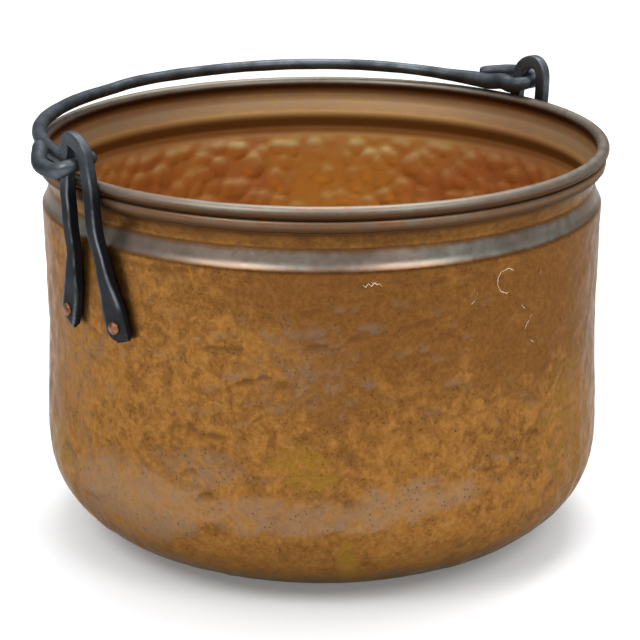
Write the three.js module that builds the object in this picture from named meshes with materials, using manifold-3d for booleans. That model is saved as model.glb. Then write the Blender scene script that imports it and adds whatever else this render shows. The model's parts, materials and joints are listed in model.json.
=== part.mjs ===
// A hand-raised copper kettle with a wire-rolled rim, two forged iron brackets and a swinging iron bail.
// Millimetres, +Z up. The origin is the centre of the flat base. The bail turns about an axis parallel to X.
import * as THREE from 'three';
import { mergeVertices } from 'three/addons/utils/BufferGeometryUtils.js';
import Module from 'manifold-3d';

// Kettle body
const POT_RADIUS = 197.4; // outside of the belly, the widest part of the wall
const POT_HEIGHT = 281.2; // from the base to the top of the rolled rim
const SHEET = 1.5; // thickness of the copper
const CORNER_REACH = 89.4; // how far the rounded corner comes in from the belly to the flat base
const CORNER_RISE = 73; // height of the belly
const CORNER_POWER = 2.2; // superellipse power of the corner: 2 is an ellipse, more is squarer
const WAIST_INSET = 2.7; // wall at mid-height, in from the belly
const SHOULDER_INSET = 1.6; // wall just under the neck, in from the belly
const SHOULDER_DROP = 43.2; // shoulder, down from the top of the rim
const NECK_INSET = 7.3; // groove between shoulder and rim, in from the belly
const NECK_DROP = 28.4; // groove, down from the top of the rim

// Rolled rim and the wire inside it
const RIM_PROUD = 2.6; // outside of the roll, out from the belly
const WIRE_RADIUS = 2.7;
const WIRE_CLEARANCE = 0.3; // between the wire and the copper rolled round it
const HEM_DROP = 17.7; // lower edge of the turned-over copper, down from the top of the rim
const HEM_GAP = 0.3; // between the turned-over copper and the wall

// Brackets: an arch of bar over the rim, with two legs that splay into riveted feet
const BAR_WIDTH = 8.6; // along the rim
const BAR_THICKNESS = 6.9; // out from the rim
const BRACKET_GAP = 0.5; // between the bar and the outside of the rolled rim
const ARCH_PLAY = 1.8; // between the rod and the inside of the arch
const ARCH_RISE = 5.9; // centre of the arch, above the bail's axis
const THROAT_DROP = 9;
const THROAT_SPREAD = 13.3; // from the bracket's middle to each leg's centre line
const KNEE_DROP = 29;
const KNEE_SPREAD = 13.6;
const SPLAY_DROP = 63;
const SPLAY_SPREAD = 18.5;
const RIVET_DROP = 94;
const RIVET_SPREAD = 27.2;
const TOE_DROP = 103.5;
const TOE_SPREAD = 30.4;
const FOOT_LEAN = -4.7; // the feet sit this far to one side of the arch
const FOOT_WIDTH = 13;
const FOOT_THICKNESS = 6.6;
const FOOT_GAP = 0.4; // between a foot and the wall
const STANDOFF_DROP = 26; // above this the legs stand off the wall, clear of the rim
const LANDING_DROP = 59; // below this they lie on the wall

// Rivets
const SHANK_RADIUS = 2.5;
const RIVET_CLEARANCE = 0.3;
const HEAD_RADIUS = 3.8;
const HEAD_HEIGHT = 2.6;
const TAIL_RADIUS = 4.4; // the head that is closed inside the kettle
const TAIL_HEIGHT = 1.2;
const TAIL_GAP = 0.6; // between that head and the wall

// Bail
const ROD_RADIUS = 4.8;
const REST_GAP = 0.4; // between the resting rod and the rim
const BAIL_DIP = 4.6; // how far the rod dips from its axis to the rim
const BAIL_DIP_REACH = 35; // where the rod is lowest, out from its axis
const BAIL_APEX_RISE = 1.5; // middle of the bail, above its axis
const BAIL_INSET = 15.3; // middle of the bail, in from the outside of the rim
const BAIL_POWER = 2.088; // superellipse power of the bail
const EYE_PLAY = 1.9; // between the bracket's bar and the eye bent round it
const TAIL_PLAY = 0.6; // between an eye's tail and the rod beside it
const LONG_TAIL = 50; // length of the eye on the +X side, out from the axis
const SHORT_TAIL = 34; // the same on the -X side, whose tail turns in

// Fineness
const TURNS = 48; // flats round the kettle
const CORNER_STEPS = 7;
const WALL_STEPS = 3;
const ROLL_STEPS = 8;
const BAR_STEPS = 64;
const ROD_SIDES = 8;
const HOOP_STEPS = 30;
const BEND_STEPS = 8;
const ROUND = 12; // flats round a rivet

// Places that follow from those sizes
const rimRadius = POT_RADIUS + RIM_PROUD;
const rollInside = WIRE_RADIUS + WIRE_CLEARANCE;
const rollOutside = rollInside + SHEET;
const rollCentre = new THREE.Vector2(rimRadius - rollOutside, POT_HEIGHT - rollOutside);
const neckZ = POT_HEIGHT - NECK_DROP;
const shoulderZ = POT_HEIGHT - SHOULDER_DROP;
const waistZ = (CORNER_RISE + shoulderZ) / 2;
const hemZ = POT_HEIGHT - HEM_DROP;
const hemWall = rollCentre.x - HEM_GAP - SHEET / 2; // outside of the wall where the hem covers it
const barRadius = rimRadius + BRACKET_GAP + BAR_THICKNESS / 2; // middle of the bar, from the kettle's axis
const archRadius = ROD_RADIUS + ARCH_PLAY + BAR_WIDTH / 2;
const restZ = POT_HEIGHT + ROD_RADIUS + REST_GAP;
const pivotZ = restZ + BAIL_DIP;
const archZ = pivotZ + ARCH_RISE;
const rivetZ = POT_HEIGHT - RIVET_DROP;
const bendRadius = BAR_THICKNESS / 2 + ROD_RADIUS + EYE_PLAY;
const rodSpan = barRadius - bendRadius; // half the distance between the bail's two inner bars
const bailReach = rimRadius - BAIL_INSET;

const COPPER = new THREE.MeshStandardMaterial({ color: 0xa8683a, roughness: 0.35, metalness: 1 });
const RIVET_COPPER = new THREE.MeshStandardMaterial({ color: 0x9a5f40, roughness: 0.45, metalness: 1 });
const IRON = new THREE.MeshStandardMaterial({ color: 0x4a4c50, roughness: 0.55, metalness: 0.8 });

const wasm = await Module();
wasm.setup();

function toSolid(geometry) {
  const bare = geometry.clone();
  bare.deleteAttribute('normal');
  bare.deleteAttribute('uv');
  const merged = mergeVertices(bare, 1e-4);
  return new wasm.Manifold(new wasm.Mesh({
    numProp: 3,
    vertProperties: new Float32Array(merged.attributes.position.array),
    triVerts: new Uint32Array(merged.index.array),
  }));
}

function toGeometry(solid) {
  const mesh = solid.getMesh();
  const geometry = new THREE.BufferGeometry();
  geometry.setAttribute('position', new THREE.BufferAttribute(new Float32Array(mesh.vertProperties), 3));
  geometry.setIndex(new THREE.BufferAttribute(new Uint32Array(mesh.triVerts), 1));
  geometry.computeVertexNormals();
  return geometry;
}

function cut(geometry, tools) {
  const solid = tools.reduce((left, tool) => left.subtract(toSolid(tool)), toSolid(geometry));
  return toGeometry(solid);
}

// Turns a closed profile of (radius, height) points round the Z axis
function turned(profile, turns) {
  return new THREE.LatheGeometry(profile, turns).rotateX(Math.PI / 2);
}

function glide(from, to, share) {
  return from + (to - from) * (1 - Math.cos(Math.PI * THREE.MathUtils.clamp(share, 0, 1))) / 2;
}

// Outside radius of the wall at a height between the belly and the neck
function wallRadius(z) {
  const waist = POT_RADIUS - WAIST_INSET;
  const shoulder = POT_RADIUS - SHOULDER_INSET;
  if (z < waistZ) {
    return glide(POT_RADIUS, waist, (z - CORNER_RISE) / (waistZ - CORNER_RISE));
  }
  if (z < shoulderZ) {
    return glide(waist, shoulder, (z - waistZ) / (shoulderZ - waistZ));
  }
  return glide(shoulder, POT_RADIUS - NECK_INSET, (z - shoulderZ) / (neckZ - shoulderZ));
}

// Outside of the kettle from the edge of the base up to the wall under the hem
function outsideProfile() {
  const points = [];
  for (let step = 0; step <= CORNER_STEPS; step += 1) {
    const angle = (Math.PI / 2) * (step / CORNER_STEPS);
    const across = Math.sin(angle) ** (2 / CORNER_POWER);
    const down = Math.cos(angle) ** (2 / CORNER_POWER);
    const radius = POT_RADIUS - CORNER_REACH * (1 - across);
    points.push(new THREE.Vector2(radius, CORNER_RISE * (1 - down)));
  }
  for (const [from, to] of [[CORNER_RISE, waistZ], [waistZ, shoulderZ], [shoulderZ, neckZ]]) {
    for (let step = 1; step <= WALL_STEPS; step += 1) {
      const z = from + (to - from) * (step / WALL_STEPS);
      points.push(new THREE.Vector2(wallRadius(z), z));
    }
  }
  points.push(new THREE.Vector2(hemWall, hemZ));
  points.push(new THREE.Vector2(hemWall, hemZ + 3 * SHEET));
  return points;
}

// The same line moved into the kettle by the thickness of the sheet
function insideProfile(outside) {
  return outside.map((point, index) => {
    const before = outside[Math.max(index - 1, 0)];
    const after = outside[Math.min(index + 1, outside.length - 1)];
    const along = index === 0 ? new THREE.Vector2(1, 0) : after.clone().sub(before).normalize();
    return new THREE.Vector2(point.x - along.y * SHEET, point.y + along.x * SHEET);
  });
}

// Points round the wire, from the wall side over the top to the hem
function rollArc(radius) {
  const start = THREE.MathUtils.degToRad(222);
  const end = THREE.MathUtils.degToRad(-62);
  return Array.from({ length: ROLL_STEPS + 1 }, (_, step) => {
    const angle = start + (end - start) * (step / ROLL_STEPS);
    return new THREE.Vector2(
      rollCentre.x + radius * Math.cos(angle),
      rollCentre.y + radius * Math.sin(angle),
    );
  });
}

function kettleProfile() {
  const outside = outsideProfile();
  const inside = insideProfile(outside);
  const hemInside = hemWall + HEM_GAP;
  const hem = [
    new THREE.Vector2(hemInside, hemZ + 3 * SHEET),
    new THREE.Vector2(hemInside, hemZ),
    new THREE.Vector2(hemInside + SHEET, hemZ),
    new THREE.Vector2(hemInside + SHEET, hemZ + 3 * SHEET),
  ];
  return [
    new THREE.Vector2(0, 0),
    ...outside,
    ...rollArc(rollInside),
    ...hem,
    ...rollArc(rollOutside).reverse(),
    ...inside.reverse(),
    new THREE.Vector2(0, SHEET),
  ];
}

function rimWireGeometry() {
  const ring = new THREE.Path().absarc(rollCentre.x, rollCentre.y, WIRE_RADIUS, 0, 2 * Math.PI);
  const points = ring.getPoints(ROUND / 2).slice(0, -1);
  return turned([...points, points[0].clone()], TURNS);
}

// Radius of a bracket's inner face at a height: on the wall at the feet, clear of the rim at the top
function bracketInside(z) {
  const foot = wallRadius(Math.min(z, shoulderZ)) + FOOT_GAP;
  const share = (z - (POT_HEIGHT - LANDING_DROP)) / (LANDING_DROP - STANDOFF_DROP);
  return glide(foot, rimRadius + BRACKET_GAP, share);
}

function bracketThickness(z) {
  const share = (z - rivetZ) / (LANDING_DROP - STANDOFF_DROP);
  return glide(FOOT_THICKNESS, BAR_THICKNESS, share);
}

function footLean(z) {
  return glide(FOOT_LEAN, 0, (z - (POT_HEIGHT - KNEE_DROP)) / (archZ - (POT_HEIGHT - KNEE_DROP)));
}

// Centre line of the bar, from one toe over the arch to the other: x runs along the rim, y is height
function barLine() {
  const leg = [
    [TOE_SPREAD, TOE_DROP],
    [RIVET_SPREAD, RIVET_DROP],
    [SPLAY_SPREAD, SPLAY_DROP],
    [KNEE_SPREAD, KNEE_DROP],
    [THROAT_SPREAD, THROAT_DROP],
  ];
  const place = (side) => ([spread, drop]) => {
    const z = POT_HEIGHT - drop;
    return new THREE.Vector3(side * spread + footLean(z), z, 0);
  };
  const arch = Array.from({ length: 7 }, (_, step) => {
    const angle = Math.PI * (1 - step / 6);
    return new THREE.Vector3(archRadius * Math.cos(angle), archZ + archRadius * Math.sin(angle), 0);
  });
  return new THREE.CatmullRomCurve3([...leg.map(place(-1)), ...arch, ...leg.map(place(1)).reverse()]);
}

// A place on the -X side of the kettle, given its distance along the rim, height and radius
function onKettle(along, z, radius) {
  const angle = along / barRadius;
  return new THREE.Vector3(-radius * Math.cos(angle), radius * Math.sin(angle), z);
}

// A round body whose own axis lies along the local Z, laid along the kettle's radius at a rivet
function atRivet(geometry, side) {
  const along = side * RIVET_SPREAD + footLean(rivetZ);
  const outward = onKettle(along, 0, 1);
  const turn = new THREE.Quaternion().setFromUnitVectors(new THREE.Vector3(0, 0, 1), outward);
  return geometry.applyQuaternion(turn).translate(0, 0, rivetZ);
}

function rivetHole(side) {
  const depth = 8 * FOOT_THICKNESS;
  const drill = new THREE.CylinderGeometry(
    SHANK_RADIUS + RIVET_CLEARANCE,
    SHANK_RADIUS + RIVET_CLEARANCE,
    depth,
    ROUND,
  ).rotateX(Math.PI / 2);
  return atRivet(drill.translate(0, 0, wallRadius(rivetZ)), side);
}

function rivetGeometry(side) {
  const tailFace = wallRadius(rivetZ) - SHEET - TAIL_GAP;
  const headFace = bracketInside(rivetZ) + bracketThickness(rivetZ) + RIVET_CLEARANCE;
  const dome = Array.from({ length: 4 }, (_, step) => {
    const angle = (Math.PI / 2) * (step / 4);
    return new THREE.Vector2(HEAD_RADIUS * Math.cos(angle), headFace + HEAD_HEIGHT * Math.sin(angle));
  });
  const profile = [
    new THREE.Vector2(0, tailFace - TAIL_HEIGHT),
    new THREE.Vector2(TAIL_RADIUS, tailFace - TAIL_HEIGHT),
    new THREE.Vector2(TAIL_RADIUS, tailFace),
    new THREE.Vector2(SHANK_RADIUS, tailFace),
    new THREE.Vector2(SHANK_RADIUS, headFace),
    ...dome,
    new THREE.Vector2(0, headFace + HEAD_HEIGHT),
  ];
  return atRivet(turned(profile, ROUND), side);
}

// A straight bar one unit long, wide and thick, bent along the centre line and tapered into its feet
function bracketGeometry() {
  const line = barLine();
  const bar = new THREE.BoxGeometry(1, 1, 1, BAR_STEPS, 1, 1);
  const positions = bar.attributes.position;
  for (let index = 0; index < positions.count; index += 1) {
    const share = positions.getX(index) + 0.5;
    const centre = line.getPointAt(share);
    const along = line.getTangentAt(share);
    const splay = (POT_HEIGHT - SPLAY_DROP - centre.y) / (RIVET_DROP - SPLAY_DROP);
    const across = glide(BAR_WIDTH, FOOT_WIDTH, splay) * positions.getY(index);
    const z = centre.y + along.x * across;
    const radius = bracketInside(z) + (0.5 - positions.getZ(index)) * bracketThickness(z);
    const place = onKettle(centre.x - along.y * across, z, radius);
    positions.setXYZ(index, place.x, place.y, place.z);
  }
  return cut(bar, [rivetHole(-1), rivetHole(1)]);
}

function kettleGeometry() {
  const holes = [rivetHole(-1), rivetHole(1)];
  const opposite = holes.map((hole) => hole.clone().rotateZ(Math.PI));
  return cut(turned(kettleProfile(), TURNS), [...holes, ...opposite]);
}

// A rod's centre line whose steps fall at its own points, which lie closer together in the bends
class RodLine extends THREE.CatmullRomCurve3 {
  getUtoTmapping(share) {
    return share;
  }
}

// Height of the resting rod, for its distance out from the axis
function rodHeight(reach) {
  if (reach < BAIL_DIP_REACH) {
    return glide(pivotZ, restZ, reach / BAIL_DIP_REACH);
  }
  const share = (reach - BAIL_DIP_REACH) / (bailReach - BAIL_DIP_REACH);
  return restZ + (BAIL_DIP + BAIL_APEX_RISE) * Math.sin((Math.PI / 2) * share);
}

function hoopSpan(reach) {
  return rodSpan * (1 - (reach / bailReach) ** BAIL_POWER) ** (1 / BAIL_POWER);
}

// The eye round a bracket's leg, from its tail to the start of the hoop, on the +X side
function eyePoints(tail) {
  const bend = Array.from({ length: BEND_STEPS + 1 }, (_, step) => {
    const angle = -Math.PI * (step / BEND_STEPS);
    const reach = bendRadius * (1 + Math.sin(angle));
    const x = barRadius + bendRadius * Math.cos(angle);
    const z = angle < -Math.PI / 2 ? rodHeight(reach) : pivotZ;
    return new THREE.Vector3(x, reach, z);
  });
  return [...tail, ...bend];
}

// This tail runs straight until it is clear of the arch, then slants in to lie beside the rod
function longTail() {
  const outer = barRadius + bendRadius;
  const end = hoopSpan(LONG_TAIL) + 2 * ROD_RADIUS + 2 * TAIL_PLAY;
  const straight = ARCH_RISE + archRadius + BAR_WIDTH / 2 + ROD_RADIUS;
  return [1, 0.5, 0].map((share) => {
    const x = THREE.MathUtils.lerp(outer, end, share);
    const z = THREE.MathUtils.lerp(pivotZ, rodHeight(LONG_TAIL), share);
    return new THREE.Vector3(x, THREE.MathUtils.lerp(straight, LONG_TAIL, share), z);
  });
}

// This tail turns in and stops against the rod
function shortTail() {
  const outer = barRadius + bendRadius;
  const inner = hoopSpan(SHORT_TAIL) + ROD_RADIUS + TAIL_PLAY;
  const corner = ROD_RADIUS + 1;
  const turn = [90, 45, 0].map((degrees) => {
    const angle = THREE.MathUtils.degToRad(degrees);
    const x = outer - corner + corner * Math.cos(angle);
    return new THREE.Vector3(x, SHORT_TAIL - corner + corner * Math.sin(angle), pivotZ);
  });
  return [new THREE.Vector3(inner, SHORT_TAIL, pivotZ), ...turn];
}

function bailGeometry() {
  const hoop = [];
  const start = Math.asin(((2 * bendRadius) / bailReach) ** (BAIL_POWER / 2));
  for (let step = 0; step <= HOOP_STEPS; step += 1) {
    const angle = start + (Math.PI - 2 * start) * (step / HOOP_STEPS);
    const reach = bailReach * Math.sin(angle) ** (2 / BAIL_POWER);
    hoop.push(new THREE.Vector3(Math.sign(Math.cos(angle)) * hoopSpan(reach), reach, rodHeight(reach)));
  }
  const mirror = (point) => new THREE.Vector3(-point.x, point.y, point.z);
  const path = new RodLine([
    ...eyePoints(longTail()),
    ...hoop,
    ...eyePoints(shortTail()).map(mirror).reverse(),
  ]);
  const section = new THREE.Shape().absarc(0, 0, ROD_RADIUS, 0, 2 * Math.PI);
  return new THREE.ExtrudeGeometry(section, {
    steps: path.points.length - 1,
    curveSegments: ROD_SIDES,
    extrudePath: path,
    bevelEnabled: false,
  });
}

function named(name, geometry, material) {
  const mesh = new THREE.Mesh(geometry, material);
  mesh.name = name;
  return mesh;
}

// A bracket and its rivets on the -X side; the other side is the same turned half round
function bracketSet(prefix) {
  const set = new THREE.Group();
  set.add(named(`${prefix}_bracket`, bracketGeometry(), IRON));
  set.add(named(`${prefix}_rivet_1`, rivetGeometry(-1), RIVET_COPPER));
  set.add(named(`${prefix}_rivet_2`, rivetGeometry(1), RIVET_COPPER));
  return set;
}

const kettle = new THREE.Group();
kettle.add(named('kettle_body', kettleGeometry(), COPPER));
kettle.add(named('rim_wire', rimWireGeometry(), IRON));
kettle.add(bracketSet('left'));
const rightSet = bracketSet('right');
rightSet.rotation.z = Math.PI;
kettle.add(rightSet);
kettle.add(named('bail_handle', bailGeometry(), IRON));

export default kettle;
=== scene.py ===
"""Looks of the copper kettle: hammered copper body, forged iron brackets and bail, copper rivets.

Metres, in the frame of the CAD model: +Z up, origin at the centre of the base, brackets at -X and +X.
"""
import json
import math

import bpy
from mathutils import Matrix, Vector, noise


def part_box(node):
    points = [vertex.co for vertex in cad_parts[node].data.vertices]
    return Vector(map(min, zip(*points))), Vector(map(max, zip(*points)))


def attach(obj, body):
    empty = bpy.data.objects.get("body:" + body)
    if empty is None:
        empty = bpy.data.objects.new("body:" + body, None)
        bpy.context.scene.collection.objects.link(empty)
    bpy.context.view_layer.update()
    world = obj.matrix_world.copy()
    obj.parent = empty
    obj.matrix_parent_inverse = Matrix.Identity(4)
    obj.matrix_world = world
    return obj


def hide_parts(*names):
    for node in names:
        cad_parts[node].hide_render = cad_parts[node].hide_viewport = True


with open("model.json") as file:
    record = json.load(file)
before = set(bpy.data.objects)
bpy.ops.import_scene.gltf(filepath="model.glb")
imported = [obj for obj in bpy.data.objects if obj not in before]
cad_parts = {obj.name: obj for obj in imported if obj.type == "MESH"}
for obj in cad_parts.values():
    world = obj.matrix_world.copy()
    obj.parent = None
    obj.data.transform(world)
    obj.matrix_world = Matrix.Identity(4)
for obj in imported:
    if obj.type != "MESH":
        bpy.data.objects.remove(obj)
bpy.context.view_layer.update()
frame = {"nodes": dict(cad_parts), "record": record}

# noise_vector is shifted by the seed, which is the time of day unless it is set
NOISE_SEED = 1
noise.seed_set(NOISE_SEED)

# Sizes of the kettle, as the CAD model has them
RIM_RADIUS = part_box("kettle_body")[1][1]
POT_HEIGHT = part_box("kettle_body")[1][2]
SHEET = 0.0015
BELLY_RADIUS = RIM_RADIUS - 0.0026
BASE_RADIUS = BELLY_RADIUS - 0.0894
BELLY_Z = 0.073
CORNER_POWER = 2.2
WAIST_RADIUS = BELLY_RADIUS - 0.0027
SHOULDER_RADIUS = BELLY_RADIUS - 0.0016
NECK_RADIUS = BELLY_RADIUS - 0.0073
SHOULDER_Z = POT_HEIGHT - 0.0432
NECK_Z = POT_HEIGHT - 0.0284
WAIST_Z = (BELLY_Z + SHOULDER_Z) / 2
CREST_DROP = 0.0009
CREST_HEIGHT = 0.0056
HEM_Z = POT_HEIGHT - 0.0177
INSIDE_CLEAR = 0.0010
ROLL_INSIDE = 0.0030
ROLL_OUTSIDE = ROLL_INSIDE + SHEET
ROLL_CENTRE = (RIM_RADIUS - ROLL_OUTSIDE, POT_HEIGHT - ROLL_OUTSIDE)
HEM_WALL = ROLL_CENTRE[0] - 0.00105
# Where the rolled copper starts and ends round the wire, in degrees up from straight out
ROLL_START = 222
ROLL_INSIDE_END = -85
ROLL_OUTSIDE_END = -78

# Hammer marks on the outside (1) and the inside (-1): how far apart they lie and how deep they are
DENT_CELL = {1: 0.0185, -1: 0.0135}
DENT_DEPTH = {1: 0.00140, -1: 0.00130}

# Sizes of the ironwork and the rivets
BAR_WIDTH = 0.0098
BAR_THICKNESS = 0.0072
BAR_SQUARENESS = 6.0
LEG_THICKNESS = 0.0082
FOOT_WIDTH = 0.0202
FOOT_THICKNESS = 0.0064
BRACKET_GAP = 0.0003
FOOT_GAP = 0.0002
BAR_RADIUS = RIM_RADIUS + 0.0040
HEAD_RADIUS = 0.0045
HEAD_HEIGHT = 0.0029
SHANK_RADIUS = 0.0025
PIVOT_Z = frame["record"]["behaviour"]["joints"][0]["pos_m"][2]
ROD_RADIUS = 0.0048
HOOP_THIN = 0.0043
HOOP_START = 0.020
TIP_TAPER = (0.78, 0.95)
BEND_RADIUS = 0.01015
ROD_SPAN = BAR_RADIUS - BEND_RADIUS
BAIL_REACH = RIM_RADIUS - 0.0153
BAIL_POWER = 2.088
REST_Z = POT_HEIGHT + ROD_RADIUS + 0.0003
DIP_REACH = 0.035
APEX_RISE = 0.0015

# Each bracket: (end of the kettle, arch centre above the pivot, arch radius, lean of its top)
BRACKETS = {
    "left_bracket": (-1, 0.0053, 0.0108, 0.0042),
    "right_bracket": (1, 0.0036, 0.0119, -0.0027),
}

# Centre lines of the bail's two eyes, from the tip of the tail to the hoop:
# (distance from the middle of the kettle, reach from the pivot, height above the pivot, rod radius)
LEFT_EYE = [
    (0.1970, 0.0545, 0.0018, 0.0048),
    (0.2012, 0.0475, -0.0002, 0.0053),
    (0.2072, 0.0390, -0.0024, 0.0055),
    (0.2120, 0.0300, -0.0044, 0.0055),
    (0.2132, 0.0200, -0.0054, 0.0055),
    (0.2132, 0.0100, -0.0050, 0.0055),
    (0.2128, 0.0042, -0.0030, 0.0054),
    (0.2086, 0.0004, -0.0008, 0.0051),
    (0.2032, -0.0002, 0.0002, 0.0048),
    (0.1983, -0.0008, 0.0010, 0.0048),
    (0.1944, -0.0016, 0.0024, 0.0049),
    (0.1921, 0.0024, 0.0022, 0.0051),
    (0.1917, 0.0090, 0.0004, 0.0052),
]
RIGHT_EYE = [
    (0.2005, 0.0520, -0.0004, 0.0046),
    (0.2066, 0.0410, 0.0012, 0.0048),
    (0.2116, 0.0310, 0.0024, 0.0050),
    (0.2134, 0.0200, 0.0030, 0.0052),
    (0.2135, 0.0100, 0.0026, 0.0052),
    (0.2128, 0.0042, 0.0014, 0.0051),
    (0.2086, 0.0006, 0.0004, 0.0050),
    (0.2035, 0.0000, 0.0000, 0.0049),
    (0.1985, 0.0002, -0.0002, 0.0049),
    (0.1945, 0.0030, -0.0012, 0.0054),
    (0.1928, 0.0100, -0.0028, 0.0060),
]

# How finely the meshes are divided
WALL_TURNS = 480
BASE_STEPS = 54
CORNER_STEPS = 60
WALL_STEPS = 66
NECK_STEPS = 12
FLARE_STEPS = 6
ROW_SPACING = 0.0025
BAR_SIDES = 32
BAR_SPACING = 0.0014
RIVET_SIDES = 28
DOME_STEPS = 7
ROD_SIDES = 24
ROD_SPACING = 0.0020
HOOP_STEPS = 44

# The front of the kettle is the side that faces the camera: how far it is from -Y towards -X, in radians
FRONT = 0.685
CAMERA_DISTANCE = 1.5024
CAMERA_HEIGHT = 0.6327
CAMERA_TILT = 0.3144
CAMERA_YAW = 0.0009
CAMERA_LENS = 123.77
FLOOR_HALF = 6.0
FLOOR_DROP = 0.0002


def glide(start, end, share):
    """Eases from start to end as share goes from 0 to 1."""
    share = min(max(share, 0.0), 1.0)
    return start + (end - start) * (1 - math.cos(math.pi * share)) / 2


def ramp(low, high, value):
    """0 below low, 1 above high, smooth between."""
    return glide(0.0, 1.0, (value - low) / (high - low))


def add_mesh(name, verts, faces, material, body, nodes):
    """Makes a smooth mesh piece that rides on a body and takes the place of any CAD nodes named."""
    mesh = bpy.data.meshes.new(name)
    mesh.from_pydata([tuple(v) for v in verts], [], faces)
    mesh.validate()
    mesh.shade_smooth()
    piece = bpy.data.objects.new(name, mesh)
    bpy.context.scene.collection.objects.link(piece)
    piece.data.materials.append(material)
    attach(piece, body)
    if nodes:
        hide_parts(*nodes)
    return piece


def paint(piece, name, values):
    """Stores four numbers for each vertex, which a material reads with Shader.mark."""
    attribute = piece.data.color_attributes.new(name, "FLOAT_COLOR", "POINT")
    attribute.data.foreach_set("color", values)


# ---------------------------------------------------------------- node helpers


class Shader:
    """Builds a material's nodes with short calls, most of which return an output socket."""

    def __init__(self, name):
        self.material = bpy.data.materials.new(name)
        self.material.use_nodes = True
        self.tree = self.material.node_tree
        self.surface = self.tree.nodes["Principled BSDF"]
        self.place = self.add("ShaderNodeTexCoord").outputs["Object"]

    def add(self, kind, **settings):
        node = self.tree.nodes.new(kind)
        for key, value in settings.items():
            setattr(node, key, value)
        return node

    def feed(self, socket, value):
        if isinstance(value, bpy.types.NodeSocket):
            self.tree.links.new(value, socket)
        else:
            socket.default_value = value

    def noise(self, scale, detail=4.0, roughness=0.55, distortion=0.0):
        node = self.add("ShaderNodeTexNoise")
        self.feed(node.inputs["Vector"], self.place)
        node.inputs["Scale"].default_value = scale
        node.inputs["Detail"].default_value = detail
        node.inputs["Roughness"].default_value = roughness
        node.inputs["Distortion"].default_value = distortion
        return node.outputs["Fac"]

    def cells(self, scale):
        node = self.add("ShaderNodeTexVoronoi")
        self.feed(node.inputs["Vector"], self.place)
        node.inputs["Scale"].default_value = scale
        return node.outputs["Distance"]

    def fit(self, value, low, high, new_low=0.0, new_high=1.0):
        node = self.add("ShaderNodeMapRange", interpolation_type="SMOOTHSTEP")
        self.feed(node.inputs["Value"], value)
        self.feed(node.inputs["From Min"], low)
        self.feed(node.inputs["From Max"], high)
        self.feed(node.inputs["To Min"], new_low)
        self.feed(node.inputs["To Max"], new_high)
        return node.outputs["Result"]

    def maths(self, operation, first, second=0.0):
        node = self.add("ShaderNodeMath", operation=operation)
        self.feed(node.inputs[0], first)
        self.feed(node.inputs[1], second)
        return node.outputs["Value"]

    def mix(self, share, first, second):
        node = self.add("ShaderNodeMix", data_type="RGBA")
        self.feed(node.inputs["Factor"], share)
        for socket, value in ((node.inputs[6], first), (node.inputs[7], second)):
            self.feed(socket, value if isinstance(value, bpy.types.NodeSocket) else (*value, 1.0))
        return node.outputs[2]

    def height(self):
        node = self.add("ShaderNodeSeparateXYZ")
        self.feed(node.inputs["Vector"], self.place)
        return node.outputs["Z"]

    def mark(self, name):
        """The three channels of a mesh's colour attribute."""
        attribute = self.add("ShaderNodeAttribute", attribute_name=name)
        split = self.add("ShaderNodeSeparateColor")
        self.feed(split.inputs["Color"], attribute.outputs["Color"])
        return split.outputs["Red"], split.outputs["Green"], split.outputs["Blue"]

    def bump(self, height, distance, strength, below=None):
        node = self.add("ShaderNodeBump")
        self.feed(node.inputs["Height"], height)
        node.inputs["Distance"].default_value = distance
        self.feed(node.inputs["Strength"], strength)
        if below is not None:
            self.feed(node.inputs["Normal"], below)
        return node.outputs["Normal"]

    def finish(self, colour, roughness, metallic, normal=None):
        self.feed(self.surface.inputs["Base Color"], colour)
        self.feed(self.surface.inputs["Roughness"], roughness)
        self.feed(self.surface.inputs["Metallic"], metallic)
        if normal is not None:
            self.feed(self.surface.inputs["Normal"], normal)
        return self.material


# ---------------------------------------------------------------- materials


# Colours of the copper outside
GOLD = ((0.222, 0.093, 0.0180), (0.296, 0.137, 0.033))
BROWN = ((0.128, 0.051, 0.012), (0.188, 0.079, 0.019))
# Painted dark reflection: the upper wall painted darker, as if it mirrored dark surroundings
PAINTED_DARK_REFLECTION = (0.120, 0.043, 0.009)
GREY_BLOOM = (0.27, 0.175, 0.105)
GREEN_STAIN = (0.27, 0.155, 0.012)
# Painted light and shade: lighter where the hammer marks face up, darker where they face down
LIT_EDGE = (0.37, 0.215, 0.100)
SHADED_EDGE = (0.085, 0.034, 0.010)
# Painted highlight: pale glints on the edges of the hammer marks that face up
PAINTED_GLINT = (0.176, 0.122, 0.092)
# Painted shade at the foot of the kettle, where it meets the floor
PAINTED_BASE_SHADE = (0.066, 0.034, 0.004)
SPECK = (0.075, 0.028, 0.009)
# Painted shade in the neck, under the rolled rim and in the groove of the hem
OUTER_PAINTED_SHADE = (0.050, 0.020, 0.006)

# Colours of the copper inside
INNER_GOLD = ((0.84, 0.525, 0.150), (0.76, 0.390, 0.160))
# Painted light and shade on the hammer marks inside
INNER_LIT_EDGE = (0.90, 0.66, 0.32)
INNER_SHADED_EDGE = (0.40, 0.220, 0.055)
INNER_SMOOTH = (0.46, 0.280, 0.130)
INNER_BASE = (0.300, 0.165, 0.055)
# Painted shade in a band below the neck inside
INNER_PAINTED_SHADE = (0.180, 0.078, 0.016)

# Colours of the burnished band and the rim: their grey is tarnish and partly a painted reflection of the
# sky
BAND_TARNISH_AND_SKY = ((0.225, 0.205, 0.170), (0.275, 0.255, 0.212))
BAND_WARM = (0.255, 0.185, 0.145)
BAND_FRINGE = (0.260, 0.150, 0.095)


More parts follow.
